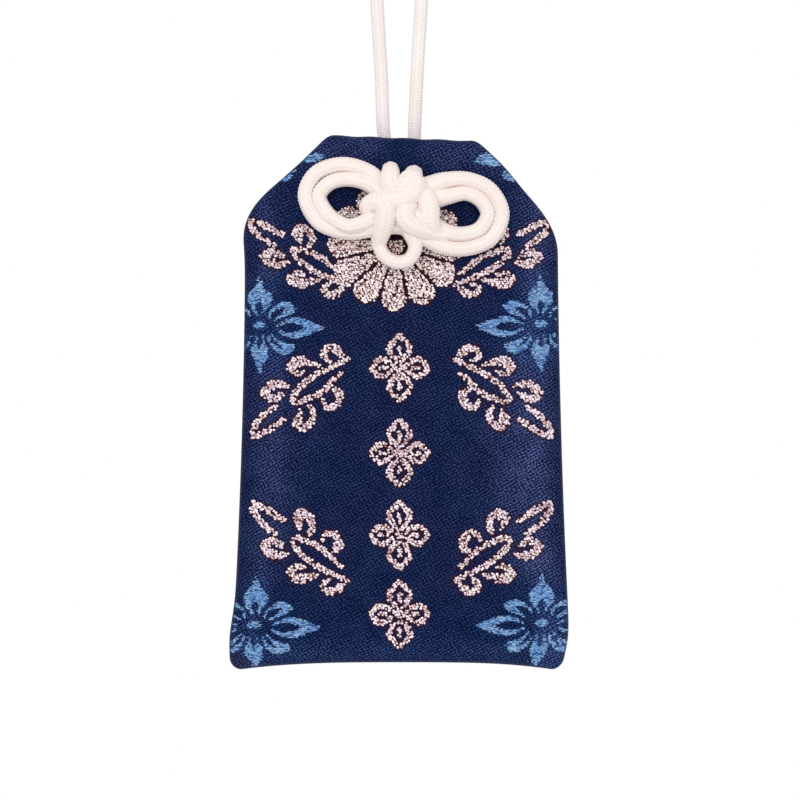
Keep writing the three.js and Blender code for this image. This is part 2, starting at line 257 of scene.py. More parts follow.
def smooth_line(points, step):
    """Points at even steps along a centripetal Catmull-Rom curve through points."""
    points = np.asarray(points, float)
    p = np.vstack([2 * points[0] - points[1], points, 2 * points[-1] - points[-2]])
    gaps = np.sqrt(np.maximum(step_lengths(p), 1e-9))[:, None]
    before, here, after = gaps[:-2], gaps[1:-1], gaps[2:]
    first, start, end, last = p[:-3], p[1:-2], p[2:-1], p[3:]
    leave = ((start - first) / before - (end - first) / (before + here) + (end - start) / here) * here
    arrive = ((end - start) / here - (last - start) / (here + after) + (last - end) / after) * here
    bend = 2 * start - 2 * end + leave + arrive
    lean = 3 * end - 3 * start - 2 * leave - arrive
    t = np.linspace(0, 1, CURVE_POINTS, endpoint=False)[:, None, None]
    curves = bend * t**3 + lean * t**2 + leave * t + start
    return even_steps(np.vstack([*curves.swapaxes(0, 1), points[-1:]]), step)


def even_steps(line, step):
    run = np.concatenate([[0], np.cumsum(step_lengths(line))])
    count = max(2, math.ceil(run[-1] / step) + 1)
    places = np.linspace(0, run[-1], count)
    return np.column_stack([np.interp(places, run, line[:, k]) for k in range(line.shape[1])])


def laid(strokes, across=0, down=0, wide=1, tall=1):
    """Strokes stretched by two factors, of which -1 turns them over, and then moved."""
    return [[(across + wide * x, down + tall * d, w) for x, d, w in stroke] for stroke in strokes]


def left_and_right(strokes):
    return strokes + laid(strokes, wide=-1)


def up_and_down(strokes, axis):
    return strokes + laid(strokes, down=2 * axis, tall=-1)


# A sprig of curled leaves at the right of the pouch's middle
SMALL_CURL = [
    (11.25, 36.95, 0.45), (10.95, 37.75, 0.7), (10.15, 38.1, 0.8), (9.3, 37.6, 1.1),
    (8.9, 36.7, 1.2), (8.95, 35.9, 1.1), (9.65, 35.5, 0.7),
]
SPRIG = [
    [(10.15, 31.45, 0.5), (11.05, 30.65, 0.8), (10.75, 29.85, 0.9), (9.65, 29.6, 1.0),
     (8.9, 30.1, 1.1), (8.45, 30.55, 0.8)],
    [(7.55, 31.15, 0.6), (9.25, 31.95, 0.7), (10.95, 32.75, 0.7), (12.25, 33.45, 0.7),
     (13.45, 34.35, 0.75), (14.65, 35.45, 0.75), (15.35, 36.5, 0.75), (15.3, 37.2, 0.7),
     (14.65, 37.35, 0.75), (13.75, 36.95, 0.75), (12.45, 36.45, 0.75), (11.25, 35.75, 0.75),
     (10.25, 34.85, 0.75), (9.35, 33.95, 0.7), (8.45, 33.15, 0.5)],
    [(11.8, 32.05, 0.45), (12.95, 31.8, 0.9), (14.25, 31.45, 1.4), (15.25, 31.75, 1.35),
     (15.95, 32.3, 0.8)],
    [(15.95, 32.3, 0.8), (15.3, 32.95, 0.8), (14.6, 33.3, 0.7), (13.7, 32.9, 0.4)],
    [(16.05, 35.05, 0.4), (16.95, 34.85, 0.8), (17.95, 34.75, 1.2), (18.9, 35.3, 1.2),
     (19.75, 36.05, 0.8)],
    [(19.75, 36.05, 0.8), (19.05, 36.6, 1.0), (18.15, 36.85, 1.05), (17.3, 36.4, 0.85),
     (16.75, 36.0, 0.4)],
    [(21.1, 42.25, 0.6), (21.1, 41.3, 0.85), (20.55, 40.3, 0.85), (19.7, 39.3, 0.8),
     (18.85, 38.55, 0.75), (18.0, 38.0, 0.65)],
    [(21.1, 42.35, 0.5), (20.1, 41.85, 0.75), (18.95, 41.25, 0.95), (17.95, 40.5, 0.8),
     (16.8, 39.9, 0.75)],
    [(14.35, 38.5, 0.45), (14.55, 39.35, 0.9), (14.75, 40.0, 1.45), (14.35, 40.7, 1.4),
     (13.95, 41.2, 0.6)],
    [(13.1, 37.9, 0.5), (12.65, 38.55, 0.75), (12.6, 39.35, 0.8), (13.0, 40.25, 1.0),
     (13.85, 41.2, 0.6)],
]
# The sprig is turned over below itself, and again beside the chrysanthemum, shortened by the knot's draw
SPRIG_MIRROR, TOP_SPRIG_DOWN, TOP_SPRIG_SQUEEZE = 47.0, 46.78, 0.84

# The chrysanthemum that the knot half covers: its middle, and a petal's (radius, width) points
KIKU_MIDDLE, KIKU_PETALS, KIKU_TURN, KIKU_GROUND = (-0.75, 15.1), 12, -2.0, 7.6
KIKU_WIDE, KIKU_TALL = 1.06, 0.98
KIKU_PETAL = [(2.6, 1.0), (3.5, 1.5), (4.5, 2.1), (6.0, 2.9), (7.0, 3.5), (7.4, 3.8)]
KIKU_GAP = [(2.2, 0.4), (8.8, 0.4)]
KIKU_HEART = [(-0.2, 0, 2.2), (0.2, 0, 2.2)]

# The right half of the blue flower, from its middle, and the upper half of its side petal
PETALS = [
    [(0.42, -1.6, 0.28), (0.75, -2.3, 0.4), (1.05, -3.1, 0.95), (0.85, -3.9, 1.75),
     (0.5, -4.7, 1.15), (0.2, -5.5, 0.65), (0.02, -6.9, 0.12)],
    [(0.48, 1.7, 0.24), (0.6, 2.6, 0.36), (0.7, 3.4, 0.95), (0.55, 4.1, 1.3),
     (0.34, 4.9, 0.9), (0.16, 5.8, 0.55), (0.02, 6.9, 0.12)],
    [(1.4, -1.05, 0.22), (1.6, -1.85, 0.3), (2.5, -2.55, 0.45), (3.4, -2.85, 0.8),
     (4.4, -2.75, 0.8), (5.15, -2.45, 0.35)],
    [(2.2, -0.75, 0.22), (3.0, -1.25, 0.34), (3.7, -1.7, 0.75), (4.5, -2.1, 0.8), (5.1, -2.4, 0.35)],
    [(1.3, 1.7, 0.24), (1.6, 2.6, 0.36), (2.4, 3.4, 0.65), (3.3, 3.8, 0.75), (4.2, 3.65, 0.8),
     (4.8, 3.2, 0.5)],
    [(1.8, 1.4, 0.22), (2.5, 2.2, 0.32), (3.3, 2.8, 0.75), (4.1, 3.1, 0.85), (4.75, 3.05, 0.5)],
]
SIDE_PETAL = [(2.6, -0.35, 0.26), (3.6, -0.85, 0.4), (4.9, -1.05, 0.75), (6.1, -0.8, 0.95),
              (7.0, -0.45, 1.0), (8.0, -0.22, 0.65), (9.2, -0.03, 0.12)]
SIDE_PETAL_DROP = 0.4
FLOWER_HEART = [(-0.95, 0.05, 0.12), (0.0, 0.0, 1.05), (0.95, -0.05, 0.12)]
FLOWERS = [(-20.2, 26.3), (-20.7, 69.1), (19.8, 26.1), (20.0, 68.8)]
SHOULDER_PETALS = [
    [(-14.0, 2.7, 0.6), (-12.6, 2.3, 1.3), (-11.0, 2.3, 0.4)],
    [(-17.1, 5.6, 0.5), (-16.2, 4.9, 1.2), (-15.1, 4.1, 0.4)],
    [(10.2, 2.8, 0.3), (12.0, 2.5, 1.9), (13.6, 3.2, 0.8)],
    [(14.0, 4.3, 0.5), (14.7, 4.9, 1.2), (15.5, 5.6, 0.4)],
]

# A bare patch of the figures' ground at the bottom's left corner
CORNER_GROUND = [(-24.3, 73.6, 1.3), (-22.8, 74.3, 1.5), (-21.5, 74.8, 0.8)]

# A quarter of a plain lozenge flower, with its veins. Four flowers stand in a column down the middle.
LOZENGE_QUARTER = [
    [(0.3, -0.95, 0.5), (1.15, -1.9, 0.7), (1.45, -2.9, 0.75), (0.8, -3.85, 0.7), (0.05, -4.65, 0.55)],
    [(0.95, -0.3, 0.5), (1.9, -1.05, 0.7), (2.85, -1.2, 0.75), (3.55, -0.7, 0.7), (4.05, -0.05, 0.5)],
    [(0, -1.75, 0.45), (0, -2.9, 0.6)],
    [(1.7, 0, 0.4), (2.7, 0, 0.55)],
]
LOZENGE_HEART = [(-0.25, 0, 0.95), (0.25, 0, 0.95)]
LOZENGE_PLACES = [(-0.2, 32.4), (-0.2, 44.6), (-0.2, 56.3), (-0.2, 67.6)]


def sprigs():
    middle = up_and_down(SPRIG + [SMALL_CURL], SPRIG_MIRROR)
    return left_and_right(middle + laid(SPRIG, down=TOP_SPRIG_DOWN, tall=-TOP_SPRIG_SQUEEZE))


def kiku_rays(ray, turn):
    """A (radius, width) line laid in every petal's direction, turned by an angle."""
    rays = []
    for k in range(KIKU_PETALS):
        angle = math.radians(KIKU_TURN + turn + 360 / KIKU_PETALS * k)
        rays.append([(r * math.sin(angle), r * math.cos(angle), w) for r, w in ray])
    return laid(rays, *KIKU_MIDDLE, KIKU_WIDE, KIKU_TALL)


def chrysanthemum():
    return laid([KIKU_HEART], *KIKU_MIDDLE) + kiku_rays(KIKU_PETAL, 0)


def petal_gaps():
    return kiku_rays(KIKU_GAP, 180 / KIKU_PETALS)


def blue_figures():
    side = laid(up_and_down([SIDE_PETAL], 0), down=SIDE_PETAL_DROP)
    flower = left_and_right(PETALS + side) + [FLOWER_HEART]
    return [stroke for place in FLOWERS for stroke in laid(flower, *place)] + SHOULDER_PETALS


def lame_figures():
    lozenge = left_and_right(up_and_down(LOZENGE_QUARTER, 0)) + [LOZENGE_HEART]
    return sprigs() + [stroke for place in LOZENGE_PLACES for stroke in laid(lozenge, *place)]


# A stroke is a row of discs. Points farther off than the margin are taken to be far outside it.
DISC_STEP, DISC_MARGIN, FAR_OUTSIDE = 0.12, 0.5, -9.0


def depth_in(across, down, strokes):
    """How deep points lie inside strokes, in millimetres: above 0 is inside."""
    down = down - KNOT_DROP
    depth = np.full(len(across), FAR_OUTSIDE)
    for stroke in strokes:
        x, level, width = smooth_line(stroke, DISC_STEP).T
        reach = width.max() / 2 + DISC_MARGIN
        near = np.flatnonzero(
            (across > x.min() - reach) & (across < x.max() + reach)
            & (down > level.min() - reach) & (down < level.max() + reach)
        )
        if len(near):
            away = np.hypot(across[near, None] - x, down[near, None] - level)
            depth[near] = np.maximum(depth[near], (width / 2 - away).max(1))
    return depth


# Node materials


# The satin's weave, in millimetres of cloth: lines that rise to the right and dots across them as waves
# (aim, period, height, sway), flecks, and slow patches
LINES = (0.5, 0.87), 0.44, 0.23, 0.5
DOTS = (0.87, -0.5), 0.52, 0.16, 1.2
# The last of these raises the weave where a sheen is painted on the satin
WEAVE_SWAY, WEAVE_CONTRAST, SHEEN_LIFT = 9.0, 1.45, 0.06
FLECK_SCALE, FLECK_RANGE, FLECK_HEIGHTS = 4.6, (0.25, 0.75), (-0.5, 1.04)
PATCH_SCALE, PATCH_HEIGHT = 0.3, 0.1
VIOLET_SCALE, VIOLET_RANGE = 0.09, (0.4, 0.65)

# Noise scales, per metre, and streaks of the threads, the cord and the foil
SILK_STREAK, SILK_SHADE = (900.0, 900.0, 9000.0), (0.68, 0.75, 0.9)
CORD_FIBRE, CORD_DRIFT, CORD_WEAR = 5200.0, 160.0, (-0.18, 0.12)
FOIL_GRAIN = 2600.0

# Roughness from the lows to the highs of a surface, and heights of bumps in metres
SILK_ROUGH, FOIL_ROUGH, CORD_ROUGH = (0.62, 0.45), (0.12, 0.3), (0.6, 0.78)
SATIN_BUMP, SILK_BUMP, CORD_BUMP, DRY_BUMP = 0.00007, 0.00003, 0.00004, 0.00005


class Look:
    """A node material round one Principled shader."""

    def __init__(self, name, **constants):
        self.material = bpy.data.materials.new(name)
        self.material.use_nodes = True
        self.tree = self.material.node_tree
        self.shader = self.tree.nodes["Principled BSDF"]
        self.set(**constants)

    def plug(self, socket, value):
        if isinstance(value, bpy.types.NodeSocket):
            self.tree.links.new(value, socket)
        elif isinstance(value, tuple) and socket.type == "RGBA":
            socket.default_value = (*value, 1.0)
        else:
            socket.default_value = value

    def set(self, **values):
        for name, value in values.items():
            self.plug(self.shader.inputs[name.replace("_", " ")], value)
        return self.material

    def node(self, kind, output=0, inputs=(), **settings):
        node = self.tree.nodes.new("ShaderNode" + kind)
        for name, value in settings.items():
            setattr(node, name, value)
        for place, value in dict(inputs).items():
            self.plug(node.inputs[place], value)
        return node.outputs[output]

    def math(self, operation, first, second=0.0):
        return self.node("Math", inputs={0: first, 1: second}, operation=operation)

    def mix(self, factor, first, second, blend="MIX"):
        inputs = {0: factor, 6: first, 7: second}
        return self.node("Mix", output=2, inputs=inputs, data_type="RGBA", blend_type=blend)

    def noise(self, place, scale, detail=2.0):
        return self.node("TexNoise", inputs={"Vector": place, "Scale": scale, "Detail": detail})

    def wave(self, place, aim, period, height, sway):
        """A sine wave that runs towards an aim, its crests shifted by a noise of the sway's scale."""
        inputs = {0: place, 1: (*aim, 0.0)}
        along = self.node("VectorMath", output="Value", inputs=inputs, operation="DOT_PRODUCT")
        turn = self.math("MULTIPLY", along, 2 * math.pi / period)
        shift = self.math("MULTIPLY", self.noise(place, sway), WEAVE_SWAY)
        return self.math("MULTIPLY", self.math("SINE", self.math("ADD", turn, shift)), height)

    def ranged(self, value, low, high, start=0.0, end=1.0):
        return self.node("MapRange", inputs={0: value, 1: low, 2: high, 3: start, 4: end})

    def spread(self, noise, start=0.0, end=1.0):
        """A noise laid over a whole range, from its usual lowest value to its usual highest."""
        return self.ranged(noise, 0.3, 0.7, start, end)

    def bump(self, height, distance, strength=1.0):
        inputs = {"Height": height, "Distance": distance, "Strength": strength}
        return self.node("Bump", inputs=inputs)

    def object_place(self):
        return self.node("TexCoord", output="Object")

    def colour_of(self, name):
        return self.node("Attribute", output="Color", attribute_name=name)


def satin(name):
    """Navy satin, speckled in fine lines that rise to the right, with the grounds of the figures and a
    painted sheen.
    """
    look = Look(name, Specular_IOR_Level=0.03, Specular_Tint=(0.4, 0.7, 1.0), Sheen_Weight=0.02,
                Sheen_Roughness=0.3, Sheen_Tint=(0.6, 0.7, 1.0))
    cloth = look.node("UVMap", uv_map="cloth")
    lines = look.wave(cloth, *LINES)
    dots = look.wave(cloth, *DOTS)
    fleck = look.ranged(look.noise(cloth, FLECK_SCALE, detail=3.0), *FLECK_RANGE, *FLECK_HEIGHTS)
    patch = look.spread(look.noise(cloth, PATCH_SCALE), -PATCH_HEIGHT, PATCH_HEIGHT)
    weave = look.math("ADD", look.math("ADD", lines, dots), look.math("ADD", fleck, patch))
    violet = look.ranged(look.noise(cloth, VIOLET_SCALE), *VIOLET_RANGE)
    light = look.mix(violet, NAVY_LIGHT, NAVY_VIOLET)
    ground = look.node("SeparateColor", inputs={0: look.colour_of("ground")}).node
    plum, tint, painted_light_share = (ground.outputs[k] for k in range(3))
    # The ground's third share is a painted sheen: it lifts the weave and lightens the navy
    raised = look.math("ADD", weave, look.math("MULTIPLY", painted_light_share, SHEEN_LIFT))
    shown = look.math("POWER", look.math("MAXIMUM", raised, 0.0), WEAVE_CONTRAST)
    navy = look.mix(shown, NAVY_DARK, look.mix(painted_light_share, light, NAVY_SHEEN))
    cool, blue = (look.ranged(tint, low, low + 0.5) for low in (0.0, 0.5))
    cooled = look.mix(cool, navy, COOL_TINT, "MULTIPLY")
    colour = look.mix(blue, look.mix(plum, cooled, PLUM), DEEP_BLUE)
    rough = look.ranged(weave, 0.0, 1.0, *SILK_ROUGH)
    return look.set(Base_Color=colour, Roughness=rough, Normal=look.bump(weave, SATIN_BUMP))


def lame(name):
    """Rose-gold metal foil thread."""
    look = Look(name, Metallic=0.5, Specular_IOR_Level=1.0)
    rough = look.spread(look.noise(look.object_place(), FOIL_GRAIN), *FOIL_ROUGH)
    return look.set(Base_Color=look.colour_of("tone"), Roughness=rough)


def silk(name):
    """Loose silk thread, streaked along its run."""
    look = Look(name, Specular_IOR_Level=0.25, Sheen_Weight=0.15, Sheen_Roughness=0.35,
                Sheen_Tint=(0.6, 0.75, 1.0))
    place = look.node("Mapping", inputs={"Vector": look.object_place(), "Scale": SILK_STREAK})
    streak = look.noise(place, 1.0)
    shade = look.mix(look.spread(streak), SILK_SHADE, WHITE)
    tone = look.mix(1.0, look.colour_of("tone"), shade, "MULTIPLY")
    rough = look.spread(streak, *SILK_ROUGH)
    return look.set(Base_Color=tone, Roughness=rough, Normal=look.bump(streak, SILK_BUMP))


def cord_silk(name):
    """Off-white knitted silk cord, with shade painted a little darker between its ribs."""
    look = Look(name, Specular_IOR_Level=0.2, Sheen_Weight=0.1, Sheen_Roughness=0.5,
                Sheen_Tint=(1.0, 0.93, 0.9))
    place = look.object_place()
    fibre = look.noise(place, CORD_FIBRE, detail=3.0)
    drift = look.noise(place, CORD_DRIFT)
    tone = look.node("SeparateColor", inputs={0: look.colour_of("tone")}).node
    # Painted shade: the knit's grooves go towards the shade colour, with a slow drift of wear on top
    painted_light_share = look.math("ADD", tone.outputs[0], look.spread(drift, *CORD_WEAR))
    # Painted light: the free strands are made whiter than the knot, though they are the same cord
    strand_lit_white = look.mix(tone.outputs[1], CORD_WHITE, CORD_STRAND_LIT)
    colour = look.mix(painted_light_share, CORD_SHADE, strand_lit_white)
    rough = look.spread(fibre, *CORD_ROUGH)
    fluff = look.bump(fibre, CORD_BUMP, strength=0.6)
    return look.set(Base_Color=colour, Roughness=rough, Normal=fluff)


def speckled(name, dark, light, scale, grain=(1.0, 1.0, 1.0), roughness=(0.7, 0.9)):
    """A plain dry material with a grain: paper, card, fleece or wood."""
    look = Look(name, Specular_IOR_Level=0.2)
    place = look.node("Mapping", inputs={"Vector": look.object_place(), "Scale": grain})
    fleck = look.noise(place, scale, detail=4.0)
    colour = look.mix(look.spread(fleck), dark, light)
    rough = look.spread(fleck, *roughness)
    return look.set(Base_Color=colour, Roughness=rough, Normal=look.bump(fleck, DRY_BUMP))


# The pouch's cloth

# Insets from the seam, and the half thickness there, of the cloth's turned edge
CURL = [(0.06, 0.0), (0.0, 0.36), (0.08, 0.64)]
CURL_END, UNCAPPED, INNER_LEAST = 0.35, 99.0, 0.04


def stations(length, grid):
    """(distance from one end, thickest half) of grid lines across a cloth with turned edges."""
    count = math.ceil((length - 2 * CURL_END) / grid)
    middle = [(x, UNCAPPED) for x in np.linspace(CURL_END, length - CURL_END, count + 1)]
    end = [(length - inset, cap) for inset, cap in reversed(CURL)]
    return np.array(CURL + middle + end)


def panel_points(side, grid):
    """Grid points of a panel's outer and inner skins, and each point's place on the flat cloth."""
    rows, columns = stations(POUCH_HEIGHT, grid), stations(2 * BOTTOM_HALF, grid)
    away, column_cap = columns.T
    drop = rows[:, :1] + np.zeros(len(columns))
    width = half_width(drop)
    turned = np.minimum(away, 2 * BOTTOM_HALF - away)
    inner_share = (away - BOTTOM_HALF) / (BOTTOM_HALF - CURL_END)
    edge = np.sign(away - BOTTOM_HALF) * (width - turned)
    x = np.where(turned < CURL_END, edge, inner_share * (width - CURL_END))
    cap = np.minimum(rows[:, 1:], column_cap)
    thick = np.minimum(cloth_half(x, drop, side), cap)
    z = height_at(x, drop)
    shrink = 1 - CLOTH_SKIN / width
    inside = np.maximum(np.minimum(thick - CLOTH_SKIN, cap), INNER_LEAST)
    lower = np.clip(drop, CLOTH_SKIN, POUCH_HEIGHT - CLOTH_SKIN)
    outer = np.stack([x, side * thick, z], -1).reshape(-1, 3)
    inner = np.stack([x * shrink, side * inside, height_at(x, lower)], -1).reshape(-1, 3)
    return outer, inner, flat_places(outer.reshape(*x.shape, 3)), len(rows), len(columns)


def flat_places(grid):
    """Place of each grid point on the flat cloth, measured along the cloth from its middle column."""
    across = np.cumsum(np.linalg.norm(np.diff(grid, axis=1, prepend=grid[:, :1]), axis=2), axis=1)
    middle = grid.shape[1] // 2
    down = np.cumsum(np.linalg.norm(np.diff(grid, axis=0, prepend=grid[:1]), axis=2), axis=0)
    drop = np.repeat(down[:, middle : middle + 1], grid.shape[1], 1)
    return np.stack([across - across[:, middle : middle + 1], drop], -1).reshape(-1, 2)


def panel_faces(rows, columns, side):
    skin = rows * columns
    index = np.arange(skin).reshape(rows, columns)
    a, b = index[:-1, :-1], index[1:, :-1]
    c, d = index[1:, 1:], index[:-1, 1:]
    outer = np.stack([a, b, c, d], -1).reshape(-1, 4)
    inner = outer[:, ::-1] + skin
    rim = np.concatenate([index[:-1, 0], index[-1, :-1], index[:0:-1, -1], index[0, :0:-1]])
    ahead = np.roll(rim, -1)
    border = np.stack([rim, rim + skin, ahead + skin, ahead], -1)
    faces = np.concatenate([outer, inner, border])
    return (faces if side == FRONT else faces[:, ::-1]).tolist()


# Where a sheen is painted pale on the cloth, as if it caught the light: on the folds over its filling, below
# its mouth and above its bottom seam.
# A fold is its side, share, reach and farther reach half-way down. A hump is its share, middle and reach.
FOLD_HALF, FOLD_SPREAD, FOLD_WIDENS, FOLD_STARTS = 19.1, 2.2, (50, 72), (4, 9)
INWARD_STARTS, INWARD_ENDS = (22, 36), (54, 68)
FOLD_SHEEN = [(-1, 0.6, 1.8, 2), (1, 0.95, 2.5, 3.2)]
MOUTH_SHEEN, MOUTH_SHEEN_STARTS, SEAM_SHEEN = (0.55, 2, 3), (1, 5), (0.38, 1.5, 2.5)


def painted_sheen_share(x, drop):
    fold = FOLD_HALF + FOLD_SPREAD * smooth_step(*FOLD_WIDENS, drop)
    inward = smooth_step(*INWARD_STARTS, drop) * (1 - smooth_step(*INWARD_ENDS, drop))
    folds = 0
    for side, share, reach, farther in FOLD_SHEEN:
        folds = folds + bell(side * x, share, fold, reach + farther * inward * (side * x < fold))
    mouth = bell(drop, *MOUTH_SHEEN) * smooth_step(*MOUTH_SHEEN_STARTS, np.abs(x))
    bottom = bell(POUCH_HEIGHT - drop, *SEAM_SHEEN)
    return np.minimum(1, folds * smooth_step(*FOLD_STARTS, drop) + mouth + bottom)


# Edges of the figures' plum and blue grounds, and the cooler tint near the flowers and the bottom. The plum
# reaches a little past the metal strokes, partly as their ground and partly as painted shadow round them.
PLUM_AND_SHADOW_EDGE, BLUE_EDGE, CORNER_EDGE, CORNER_SHARE = (-0.42, 0.02), (-0.05, 0.2), (-0.4, 0.4), 0.4
COOL_RING, COOL_FLATTEN = (4, 11), 1.2
COOL_BOTTOM, COOL_BOTTOM_STARTS = 0.8, (62, 72)


def near_flowers(across, down):
    """How near points lie to the blue flowers, whose threads run on behind the ground there."""
    near = np.zeros(len(across))
    for x, level in FLOWERS:
        away = np.hypot(across - x, COOL_FLATTEN * (down - KNOT_DROP - level))
        near = np.maximum(near, 1 - smooth_step(*COOL_RING, away))
    return near


def front_ground(outer):
    """Shares of the front cloth's plum, of its cool and blue tints, and of its painted sheen."""
    across, down = outer[:, 0], -outer[:, 2]
    metal = depth_in(across, down, lame_figures() + chrysanthemum())
    middle = np.hypot(across - KIKU_MIDDLE[0], down - KNOT_DROP - KIKU_MIDDLE[1])
    metal = np.maximum(metal, KIKU_GROUND - middle)
    corner = CORNER_SHARE * smooth_step(*CORNER_EDGE, depth_in(across, down, [CORNER_GROUND]))
    # Plum ground, with painted shadow in its fringe round the metal strokes
    plum = np.maximum(smooth_step(*PLUM_AND_SHADOW_EDGE, metal), corner)
    blue = smooth_step(*BLUE_EDGE, depth_in(across, down, blue_figures()))
    bottom = COOL_BOTTOM * smooth_step(*COOL_BOTTOM_STARTS, down)
    cool = np.maximum(near_flowers(across, down), bottom)
    tint = (blue + np.maximum(blue, cool)) / 2
    return np.column_stack([plum, tint, painted_sheen_share(across, drop_at(across, down))])


def cloth_panel(name, side, grid, material):
    outer, inner, flat, rows, columns = panel_points(side, grid)
    points = in_frame(settled(np.concatenate([outer, inner])))
    panel = add_mesh(name, points, panel_faces(rows, columns, side), material)
    add_cloth_map(panel, np.concatenate([flat, flat]))
    ground = np.zeros((len(points), 3))
    if side == FRONT:
        ground[: len(outer)] = front_ground(outer)
    add_colours(panel, "ground", ground)
    return panel


# Threads on the cloth

# A thread float: along, across and above, as shares of its length, width and height
FLOAT = np.array([
    (-0.5, 0, -0.15), (-0.2, -0.5, -0.1), (-0.2, 0, 1), (-0.2, 0.5, -0.1),
    (0.2, -0.5, -0.1), (0.2, 0, 1), (0.2, 0.5, -0.1), (0.5, 0, -0.15),
])
FLOAT_FACES = [
    (0, 2, 1), (0, 3, 2), (0, 1, 3), (1, 2, 5, 4), (2, 3, 6, 5), (1, 4, 6, 3),
    (7, 4, 5), (7, 5, 6), (7, 6, 4),
]

# Metal floats. Strays, turns and tilts are means and spreads. Sizes are limits of length, width and height.
FOIL_START, FOIL_ROW, FOIL_PITCH, FOIL_STAGGER = 0.4, 0.29, 0.38, 3
FOIL_ASIDE, FOIL_DOWN, FOIL_TURN, FOIL_TILT = (0, 0.07), (0, 0.05), (0.15, 0.5), (0, 0.1)
FOIL_SIZES, FOIL_MISSING = [(0.38, 0.56), (0.24, 0.33), (0.04, 0.08)], 0.03
FIGURE_SPREAD, PETAL_GAP = 0.03, 0.03

# Metal floats' brightness at a rim, elsewhere and outside the chrysanthemum, their warmth and their size
RIM_WIDTH, RIM_LIGHT, FOIL_LIGHT, SPRIG_LIGHT = 0.3, 0.7, (0.9, 0.45), 0.86
FOIL_DRIFT, SPRIG_WARMTH = (0.9, 0.55), 0.6
DULL_WIDTH, BRIGHT_WIDER, DULL_LOWER = 0.8, 0.4, 0.03

# Silk floats, in the same terms
SILK_START, SILK_ROW, SILK_PITCH = 0.6, 0.2, 0.34
SILK_DOWN, SILK_TURN = (0, 0.02), (0, 0.14)
SILK_LENGTH, SILK_WIDTH, SILK_HEIGHT, SILK_MISSING = (0.5, 0.95), (0.14, 0.21), (0.05, 0.1), 0.14
SILK_OVERLAP, SILK_ENDS, SILK_CUT = 0.05, (-0.45, 0.45), 0.6
SILK_LIGHT, SILK_DRIFT = (1.5, 0.75), (1.1, 0.8)
PALLOR, PALLOR_LIMITS, PALLOR_GREEN = 0.14, (0.6, 1.4), 0.4


def thread_floats(name, spots, tones, material, smooth):
    """One mesh of thread floats. Spots are their across, down, length, width, height, turn and tilt."""
    across, down, length, width, height, turn, tilt = (values[:, None] for values in spots)
    along, wide = FLOAT[:, 0] * length, FLOAT[:, 1] * width
    x = across + along * np.cos(turn) - wide * np.sin(turn)
    level = down + along * np.sin(turn) + wide * np.cos(turn)
    drop = drop_at(x, level)
    lift = FLOAT[:, 2] * height + tilt * along
    y = -cloth_half(x, drop, FRONT) - lift
    points = in_frame(settled(np.stack([x, y, -level], -1).reshape(-1, 3)))
    step = len(FLOAT)
    faces = [tuple(step * k + v for v in face) for k in range(len(tones)) for face in FLOAT_FACES]
    threads = add_mesh(name, points, faces, material, smooth)
    add_colours(threads, "tone", np.repeat(tones, step, 0))
    return threads


def blend_colour(first, second, share):
    return np.array(first) + (np.array(second) - np.array(first)) * share[:, None]


def on_cloth(across, down, clear):
    drop = drop_at(across, down)
    bottom = POUCH_HEIGHT - drop
    return (from_side(across, drop) > clear) & (drop > clear) & (bottom > clear)


def thread_grid(start, row, pitch):
    """Across, down and row number of a level grid of places over the whole cloth."""
    rows = np.arange(start, POUCH_HEIGHT, row)
    columns = np.arange(-BOTTOM_HALF, BOTTOM_HALF, pitch)
    down, across = (grid.ravel() for grid in np.meshgrid(rows, columns, indexing="ij"))
    return across, down, np.repeat(np.arange(len(rows)), len(columns))


def drifting(across, down, wide, tall):
    """A slow drift over the cloth, from -1 to 1."""
    return np.sin(wide * across + 2 * np.sin(tall * down))


def lame_threads(material):
    """Short metal floats in staggered rows, where the loom brings the foil to the face."""
    across, down, row = thread_grid(FOIL_START, FOIL_ROW, FOIL_PITCH)
    across = across + row % FOIL_STAGGER * FOIL_PITCH / FOIL_STAGGER
    across = across + DRAW.normal(*FOIL_ASIDE, len(across))
    down = down + DRAW.normal(*FOIL_DOWN, len(down))
    depth = depth_in(across, down, lame_figures()) + FIGURE_SPREAD
    flower, gaps = (depth_in(across, down, strokes) for strokes in (chrysanthemum(), petal_gaps()))
    petals = np.minimum(flower, -gaps) - PETAL_GAP
    in_flower = petals > depth
    depth = np.maximum(depth, petals)
    kept = (depth > 0) & on_cloth(across, down, EDGE_CLEAR) & (DRAW.random(len(across)) > FOIL_MISSING)
    across, down, depth, in_flower = (values[kept] for values in (across, down, depth, in_flower))
    count = len(across)
    length, width, height = (DRAW.uniform(low, high, count) for low, high in FOIL_SIZES)
    turn, tilt = (DRAW.normal(mean, spread, count) for mean, spread in (FOIL_TURN, FOIL_TILT))
    rim = RIM_LIGHT * smooth_step(-RIM_WIDTH, 0, -depth)
    bright = np.maximum(rim, DRAW.beta(*FOIL_LIGHT, count)) * np.where(in_flower, 1.0, SPRIG_LIGHT)
    drift = 0.5 + 0.5 * drifting(across, down, *FOIL_DRIFT)
    warm = np.where(in_flower, 0.5 + 0.5 * drift, SPRIG_WARMTH * drift)
    tones = blend_colour(LAME_ROSE, blend_colour(LAME_PALE, LAME_CREAM, warm), bright)
    width = width * (DULL_WIDTH + BRIGHT_WIDER * bright)
    height = height + DULL_LOWER * (bright - 1)
    spots = across, down, length, width, height, turn, tilt
    return thread_floats("lame_threads", spots, tones, material, smooth=False)


